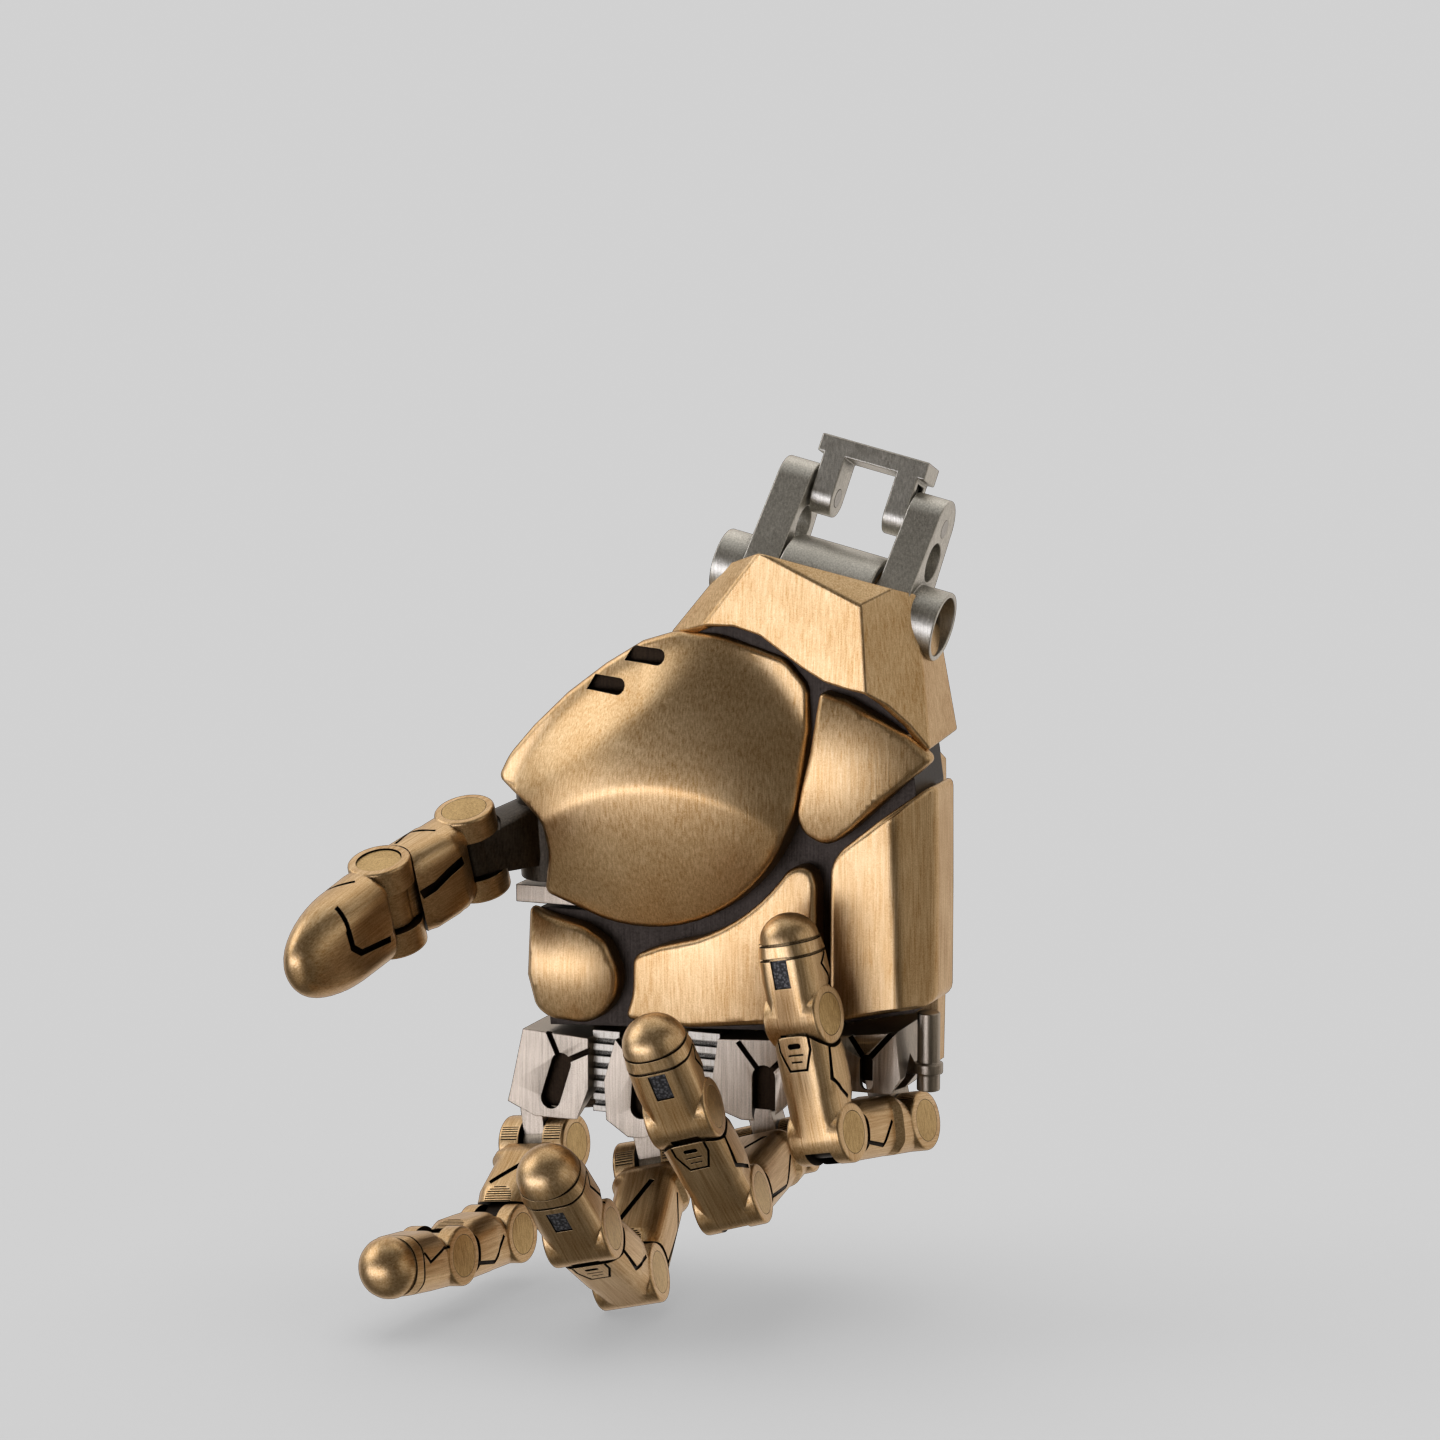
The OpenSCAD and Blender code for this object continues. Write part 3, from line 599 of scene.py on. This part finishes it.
def ear_ribs(tool, r, slot_wide, wide):
    """Fine ribs on the palm side of a knuckle's ears."""
    for side in (-1, 1):
        near, far = sorted((side * (slot_wide / 2 + 0.35), side * (wide / 2 - 0.7)))
        for rib in range(6):
            z = -1.2 - 0.5 * rib
            y = -math.sqrt(r * r - z * z)
            prism(tool, strip([(y - 1.5, z), (y + 0.2, z)], 0.22), along_x, near, far)


def ribbed_pad(tool, depth, length):
    """A rounded patch of fine ribs on the slope at the palm side of a phalanx's lower end."""
    for rib in range(8):
        down = 0.3 + 0.52 * rib
        half = 3.1 * math.sqrt(1 - max(1 - down / 2.4, 0) ** 2)
        y = -depth / 2 + 0.38 * down
        z = -length + 8 - 0.92 * down
        prism(tool, strip([(y - 0.8, z - 0.3), (y + 0.24, z + 0.09)], 0.24), along_x, -half, half)


def side_lines(tool, wide, depth, top, low):
    """A bent line on each side of a body."""
    for side in (-1, 1):
        near, far = sorted((side * (wide / 2 - CUT), side * (wide / 2 + 2)))
        line = [(-depth * 0.08, top), (depth * 0.30, top * 0.62 + low * 0.38), (depth * 0.2, low)]
        prism(tool, strip(line, GROOVE + 0.2), along_x, near, far)


def shield(tool, back, z0):
    """The shield on the back of a middle phalanx: its outline, a slot and two lines."""
    outline = [(-3.4, z0), (-3.4, z0 + 2.6), (-1.9, z0 + 6.6), (1.9, z0 + 6.6), (3.4, z0 + 2.6),
               (3.4, z0)]
    near, far = back - CUT, back + 2
    prism(tool, strip(outline, 0.5), along_y, near, far)
    prism(tool, arc(-0.9, z0 + 1.7, 0.55, 90, 270, 6) + arc(0.9, z0 + 1.7, 0.55, -90, 90, 6), along_y,
          near - 0.3, far)
    for height, half in ((3.5, 1.7), (4.9, 1.2)):
        prism(tool, strip([(-half, z0 + height), (half, z0 + height)], 0.36), along_y, near, far)


def link_bone(top_wide, wide, depth, length, slot_wide, head, marks):
    """A phalanx with a hinge at both ends."""
    r = depth / 2
    half = wide / 2
    lip = top_wide / 2 - 0.25
    body = loft([(0, lip, r, 0.3, 0, 0), (-4.2, lip, r, r * 0.7, 0, 0), (-8, lip, r, r, 0, 0),
                 (-9, lip, r, r, 0, 0),
                 (-10.2, half, r, r, 0, 0), (-length + 8, half, r, r, 0, 0),
                 (-length + 4.6, half, r, r - 1.4, 0, 0), (-length, half, r, r - 1.5, 0, 0)], 2.4)
    bone = carve(disc(r, top_wide, 0.6), body, "UNION", 0)
    tool = bmesh.new()
    hinge_room(tool, r, slot_wide, top_wide, head)
    prism(tool, [(a, b - length) for a, b in arc(0, 0, r + 0.6, 0, 352.5, 47)], along_x, -20, 20)
    marks(tool, wide, depth, length)
    if top_wide > wide:
        ear_ribs(tool, r, slot_wide, top_wide)
    return carve(bone, tool)


def tongue(r, wide, length):
    """The hinge tongue at the lower end of a phalanx."""
    bm = bmesh.new()
    eye = arc(0, -length, r - CAP_WALL - TONGUE_GAP, -215, 20, 28)
    top = -length + r + 2
    prism(bm, eye + [(r - 2.2, top), (-r + 2.6, top)], along_x, -wide / 2, wide / 2)
    rims = [e for e in bm.edges if abs(e.verts[0].co.x - e.verts[1].co.x) < 0.01]
    bmesh.ops.bevel(bm, geom=rims, offset=0.3, affect="EDGES", segments=2, profile=0.5, material=-1)
    return bm


def proximal_marks(tool, wide, depth, length):
    """A slanting line on the palm side of a proximal phalanx, and lines on its sides."""
    front = -depth / 2
    slant = strip([(wide * 0.22, -12), (-wide * 0.24, -length + 9)], 1.3)
    prism(tool, slant, along_y, front - 2, front + 0.8)
    ribbed_pad(tool, depth, length)
    side_lines(tool, wide, depth, -11, -length + 5)


def middle_marks(tool, wide, depth, length):
    """The shield and the side lines of a middle phalanx."""
    shield(tool, depth / 2, -length + 3)
    ribbed_pad(tool, depth, length)
    side_lines(tool, wide, depth, -7, -length + 4.4)


def finger_place(finger, bone):
    """Where a phalanx hinges, and the frame it is modelled in."""
    order = ("knuckle_bend", "middle_bend", "end_bend")
    i = ("proximal", "middle", "distal").index(bone)
    start = joint_place(finger + "_" + order[i])
    tip = joint_place(finger + "_" + order[i + 1]) if i < 2 else farthest(finger + "_distal", start)
    axis = Vector(joints[finger + "_" + order[i]]["axis"])
    return hinge_frame(start, -axis, tip), (tip - start).length


TONGUE = 5.0           # width of a finger's hinge tongue
TONGUE_SLOT = TONGUE + 0.8
for finger in FINGERS:
    for bone, marks in (("proximal", proximal_marks), ("middle", middle_marks)):
        node = finger + "_" + bone
        at, length = finger_place(finger, bone)
        low, high = span(node, at)
        lower = span(finger + "_middle", finger_place(finger, "middle")[0])[1].x * 2
        depth = 2 * high.z
        head = span(finger + "_middle_pin", finger_place(finger, "middle")[0])[1].z + 0.1
        shape = link_bone(2 * high.x, lower, depth, length, TONGUE_SLOT, head, marks)
        piece = lay(shape, node + "_casting", node, [brass, patina], at)
        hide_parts(node)
        finish = patina if bone == "proximal" else brass
        tab = lay(tongue(depth / 2, TONGUE, length), node + "_tongue", node, [finish], at)

# ---- Fingertips ------------------------------------------------------------------------------
# The last phalanx: a polished cap, a narrow band and a body with a dark knurled grip set into
# its back. The grip is moulded rubber, pressed into a square pocket.

DOME_STEPS = 7
GRIP_GAP = 0.1         # space round a grip in its pocket


def fingertip(wide, depth, length, window, head):
    """The last phalanx of a finger; window is the grip's lowest and highest corner."""
    r = depth / 2
    half = wide / 2
    cap = half - 0.1
    low_line = -length - 0.3
    high_line = -length + 2.5
    stations = [(0, half - 0.25, r, 0.3, 0, 0), (-4.2, half - 0.25, r, r * 0.7, 0, 0),
                (-8, half, r, r, 0, 0)]
    for line, roundness, chevron in ((high_line, 0.2, -0.7), (low_line, 0.75, 0)):
        for shift, inset in ((0.3, 0), (0.27, CUT), (-0.27, CUT), (-0.3, 0)):
            stations.append((line + shift, half - inset, r - inset, r - inset, roundness, chevron))
    for i in range(DOME_STEPS):
        turn = math.pi / 2 * i / DOME_STEPS
        level = low_line - 0.3 - (cap - 0.6) * math.sin(turn)
        flat = cap * math.cos(turn)
        stations.append((level, flat, flat, flat, 1, 0))
    body = loft(stations, 2.4)
    tip = min(body.faces, key=lambda f: f.calc_center_median().z)
    centre = bmesh.ops.poke(body, faces=[tip])["verts"][0]
    centre.co.z = low_line - 0.3 - (cap - 0.6)
    bone = carve(disc(r, wide, 0.6), body, "UNION", 0)
    tool = bmesh.new()
    hinge_room(tool, r, TONGUE_SLOT, wide, head)
    low, high = window
    prism(tool, [(low.x, low.z), (high.x, low.z), (high.x, high.z), (low.x, high.z)], along_y,
          low.y, r + 2)
    for side in (-1, 1):
        near, far = sorted((side * (half - CUT), side * (half + 2)))
        line = [(-r * 0.4, high_line + 0.4), (-r * 0.05, high_line + 2.4), (-r * 0.4, -7.2),
                (-r * 0.4, -5)]
        prism(tool, strip(line, GROOVE), along_x, near, far)
    return carve(bone, tool)


# Moulded rubber, charcoal grey, with a fine knurl whose tops are painted a paler grey as a painted
# highlight
rubber = bpy.data.materials.new("moulded_rubber")
rubber.use_nodes = True
tree = rubber.node_tree
where = add(tree, "Attribute", attribute_name="grain").outputs["Vector"]
cells = add(tree, "TexVoronoi", {"Vector": where, "Scale": 1.9}).outputs["Distance"]
# the colour turns paler towards the knurl's tops, a painted highlight over the charcoal
tone = add(tree, "MapRange", {0: cells, 1: 0.1, 2: 0.6, 3: 0, 4: 1}).outputs[0]
painted_knurl_highlight = linear("#77777c")
deep = linear("#28282c")
color = add(tree, "Mix", {0: tone, 6: painted_knurl_highlight, 7: deep}, data_type="RGBA").outputs[2]
knurl = {"Height": cells, "Strength": 0.8, "Distance": 0.15 * MM}
bump = add(tree, "Bump", knurl, invert=True).outputs[0]
shader = tree.nodes["Principled BSDF"]
tree.links.new(color, shader.inputs["Base Color"])
tree.links.new(bump, shader.inputs["Normal"])
rough = add(tree, "MapRange", {0: cells, 1: 0, 2: 0.6, 3: 0.45, 4: 0.7}).outputs[0]
tree.links.new(rough, shader.inputs["Roughness"])

for finger in FINGERS:
    node = finger + "_distal"
    at = finger_place(finger, "distal")[0]
    low, high = span(node, at)
    wide = 2 * high.x
    window = span(finger + "_window", at)
    head = span(finger + "_end_pin", at)[1].z + 0.1
    shape = fingertip(wide, 2 * high.z, -low.z - (wide / 2 - 0.1), window, head)
    piece = lay(shape, node + "_casting", node, [brass, patina], at)
    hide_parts(node)
    low, high = window
    grip = bmesh.new()
    left, right = low.x + GRIP_GAP, high.x - GRIP_GAP
    foot, top = low.z + GRIP_GAP, high.z - GRIP_GAP
    prism(grip, [(left, foot), (right, foot), (right, top), (left, top)], along_y, low.y, high.y)
    bmesh.ops.bevel(grip, geom=grip.edges[:], offset=0.2, affect="EDGES", segments=2, profile=0.5,
                    material=-1)
    grip = lay(grip, finger + "_grip", node, [rubber], at)
    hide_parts(finger + "_window")
# Turned brass of the hinge pins: the heads keep fine lathe lines
pin_brass = worn_metal("turned_brass", "#d4b57e", "#92733f", "#241b13", 0.34, own_grain=False)
for node in frame["nodes"]:
    if node.endswith("_pin") or node == "knuckle_pins":
        coat(node, steel if node == "thumb_base_pin" else pin_brass)

# ---- Thumb -----------------------------------------------------------------------------------
# A dark cast saddle turns in the bracket; two broad brass phalanges hang from it.

THUMB_TONGUE = 8.0
THUMB_DOME_STEPS = 12


def thumb_place(bone):
    """The frame a thumb phalanx is modelled in, and its length."""
    start = joint_place("thumb_knuckle_bend" if bone == "proximal" else "thumb_end_bend")
    tip = joint_place("thumb_end_bend") if bone == "proximal" else farthest("thumb_distal", start)
    axis = joints["thumb_knuckle_bend" if bone == "proximal" else "thumb_end_bend"]["axis"]
    return hinge_frame(start, -Vector(axis), tip), (tip - start).length


def thumb_marks(tool, wide, depth, length):
    """The slanting slot and the side lines of the thumb's first phalanx."""
    front = -depth / 2
    slot = strip([(-wide * 0.16, -7.6), (-wide * 0.12, -12), (-wide * 0.02, -length + 5)], 2.1)
    prism(tool, slot, along_y, front - 2, front + 1.3)
    side_lines(tool, wide, depth, -9, -length + 7)


def thumb_tip(wide, depth, length, head):
    """The last phalanx of the thumb: a broad pad with a hooked groove, closed by a long dome."""
    r = depth / 2
    half = wide / 2
    stations = [(0, half - 0.25, r, 0.3, 0, 0), (-4.2, half - 0.25, r, r * 0.7, 0, 0),
                (-7, half, r, r, 0, 0), (-length * 0.5, half, r, r, 0.15, 0)]
    for i in range(1, THUMB_DOME_STEPS):
        turn = math.pi / 2 * i / THUMB_DOME_STEPS
        taper = math.cos(turn) ** 0.8
        stations.append((-length * (0.5 + 0.5 * math.sin(turn)), half * taper, r * taper, r * taper,
                         0.15 + 0.85 * math.sin(turn), 0))
    body = loft(stations, 3.4)
    end = min(body.faces, key=lambda f: f.calc_center_median().z)
    centre = bmesh.ops.poke(body, faces=[end])["verts"][0]
    centre.co.z = -length
    bone = carve(disc(r, wide, 0.6), body, "UNION", 0)
    tool = bmesh.new()
    hinge_room(tool, r, THUMB_TONGUE + 0.8, wide, head)
    hook = [(-half * 0.5, -19), (-half * 0.1, -19), (half * 0.12, -17), (half * 0.3, -8)]
    prism(tool, strip(hook, 1.4), along_y, -r - 2, -r + 1.4)
    prism(tool, strip([(-half - 1, -17.6), (-half * 0.45, -19)], 1), along_y, -r - 2, -r + 3.4)
    side_lines(tool, wide, depth, -9, -length + 9)
    return carve(bone, tool)


at, length = thumb_place("proximal")
high = span("thumb_proximal", at)[1]
head = span("thumb_knuckle_pin", at)[1].z + 0.1
shape = link_bone(2 * high.x, 2 * high.x, 2 * high.z, length, THUMB_TONGUE + 0.8, head, thumb_marks)
piece = lay(shape, "thumb_proximal_casting", "thumb_proximal", [brass, patina], at)
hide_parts("thumb_proximal")
tab = lay(tongue(high.z, THUMB_TONGUE, length), "thumb_proximal_tongue", "thumb_proximal", [brass], at)
at = thumb_place("distal")[0]
low, high = span("thumb_distal", at)
tip = thumb_tip(2 * high.x, 2 * high.z, -low.z, head)
piece = lay(tip, "thumb_tip_casting", "thumb_distal", [brass, patina], at)
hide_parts("thumb_distal")
# Blackened bronze: nearly black, with brown showing on its coarse cast skin
saddle = worn_metal("blackened_bronze_casting", "#5c554d", "#34302c", "#151210", 0.4, grit=0.5)
base = lay(cast_copy("thumb_base", 0.4), "thumb_saddle", "thumb_base", [saddle])
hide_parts("thumb_base")

# ---- Floor, light and camera -----------------------------------------------------------------
# A pale seamless studio: a floor that only takes the hand's shadow, large soft lights, and a
# dark ceiling, which the brass shows as its dark tones.

floor_z = cad_box[0][2]
stage = bmesh.new()
bmesh.ops.create_grid(stage, x_segments=1, y_segments=1, size=20)
bmesh.ops.translate(stage, vec=(0, 0, floor_z), verts=stage.verts)
mesh = bpy.data.meshes.new("floor")
stage.to_mesh(mesh)
floor = bpy.data.objects.new("floor", mesh)
bpy.context.scene.collection.objects.link(floor)
floor.is_shadow_catcher = True
floor.visible_glossy = False
paper = bpy.data.materials.new("paper_backdrop")
paper.use_nodes = True
paper.node_tree.nodes["Principled BSDF"].inputs["Base Color"].default_value = linear("#6c6c6c")
paper.node_tree.nodes["Principled BSDF"].inputs["Roughness"].default_value = 0.9
mesh.materials.append(paper)

AZIMUTH = math.radians(20)
ELEVATION = math.radians(8)
DISTANCE = 0.95
back = Vector((math.sin(AZIMUTH) * math.cos(ELEVATION), -math.cos(AZIMUTH) * math.cos(ELEVATION),
               math.sin(ELEVATION)))
right = Vector((math.cos(AZIMUTH), math.sin(AZIMUTH), 0))
up = back.cross(right)
aim = -0.0224 * right - 0.0252 * up
camera = bpy.data.objects.new("camera", bpy.data.cameras.new("camera"))
bpy.context.scene.collection.objects.link(camera)
camera.data.lens = 118.75
camera.data.sensor_width = 36
camera.location = back * DISTANCE
camera.rotation_euler = (aim - camera.location).to_track_quat("-Z", "Y").to_euler()
bpy.context.scene.camera = camera

world = bpy.data.worlds.new("studio")
bpy.context.scene.world = world
world.use_nodes = True
tree = world.node_tree
tree.nodes.clear()
toward = add(tree, "TexCoord").outputs["Generated"]
# a long low strip of light in front, brightest level with the palm and off to the left
height = add(tree, "SeparateXYZ", {0: toward}).outputs["Z"]
level = add(tree, "Math", {0: height, 1: 0.12}, operation="ADD").outputs[0]
level = add(tree, "Math", {0: level}, operation="ABSOLUTE").outputs[0]
soft = {"interpolation_type": "SMOOTHSTEP"}
band = add(tree, "MapRange", {0: level, 1: 0.1, 2: 0.25, 3: 2.8, 4: 0}, **soft).outputs[0]
dot = {"operation": "DOT_PRODUCT"}
near = add(tree, "VectorMath", {0: toward, 1: (-0.5, -0.86, 0)}, **dot).outputs["Value"]
side = add(tree, "MapRange", {0: near, 1: 0.7, 2: 0.92, 3: 0, 4: 1}, **soft).outputs[0]
glow = add(tree, "Math", {0: band, 1: side, 2: 0.12}, operation="MULTIPLY_ADD").outputs[0]
# soft boxes high on the left, on the right and behind, and the pale table in front: each is an
# axis, where it starts, where it is full, and its strength
SOFT_BOXES = (((-0.83, -0.13, 0.54), 0.89, 0.98, 1.35), ((0.97, -0.1, 0.2), 0.8, 0.97, 0.3),
              ((0, 1, 0.1), 0.1, 0.6, 0.6), ((-0.36, -0.82, -0.45), 0.7, 0.93, 0.3))
for axis, start, full, power in SOFT_BOXES:
    near = add(tree, "VectorMath", {0: toward, 1: axis}, **dot).outputs["Value"]
    card = add(tree, "MapRange", {0: near, 1: start, 2: full, 3: 0, 4: power}, **soft).outputs[0]
    glow = add(tree, "Math", {0: card, 1: glow}, operation="ADD").outputs[0]
# the dim parts of the room are warmer than the boxes
lit = add(tree, "MapRange", {0: glow, 1: 0.3, 2: 1.8, 3: 0, 4: 1}).outputs[0]
tint = add(tree, "Mix", {0: lit, 6: (1, 0.9, 0.78, 1), 7: (1, 1, 1.1, 1)}, data_type="RGBA").outputs[2]
BACKDROP = 0.64        # the plain backdrop that shows behind the hand
seen = add(tree, "LightPath").outputs["Is Camera Ray"]
tint = add(tree, "Mix", {0: seen, 6: tint, 7: (1, 1, 1, 1)}, data_type="RGBA").outputs[2]
glow = add(tree, "Mix", {0: seen, 2: glow, 3: BACKDROP}).outputs[0]
plain = add(tree, "Background", {"Color": tint, "Strength": glow})
add(tree, "OutputWorld", {"Surface": plain.outputs[0]})


def soft_light(name, place, size, power):
    """A square soft box aimed at the middle of the hand."""
    lamp = bpy.data.lights.new(name, "AREA")
    lamp.size = size
    lamp.energy = power
    box = bpy.data.objects.new(name, lamp)
    box.location = place
    box.rotation_euler = (Vector((0, 0, -0.06)) - box.location).to_track_quat("-Z", "Y").to_euler()
    bpy.context.scene.collection.objects.link(box)
    return box


soft_light("top_box", (-0.3, 0.3, 1.2), 1.6, 4)
soft_light("left_box", (-1.1, -0.3, 0.5), 1.0, 2.5)
soft_light("right_box", (1.1, -0.3, 0.4), 0.8, 0.6)
# the pale room's own light, which reaches the floor from all sides and thins the shadow
fill = soft_light("room_fill", (0, 0, 1.2), 1.6, 40)
fill.data.use_shadow = False
fill.visible_glossy = False
bpy.context.scene.view_settings.view_transform = "Standard"
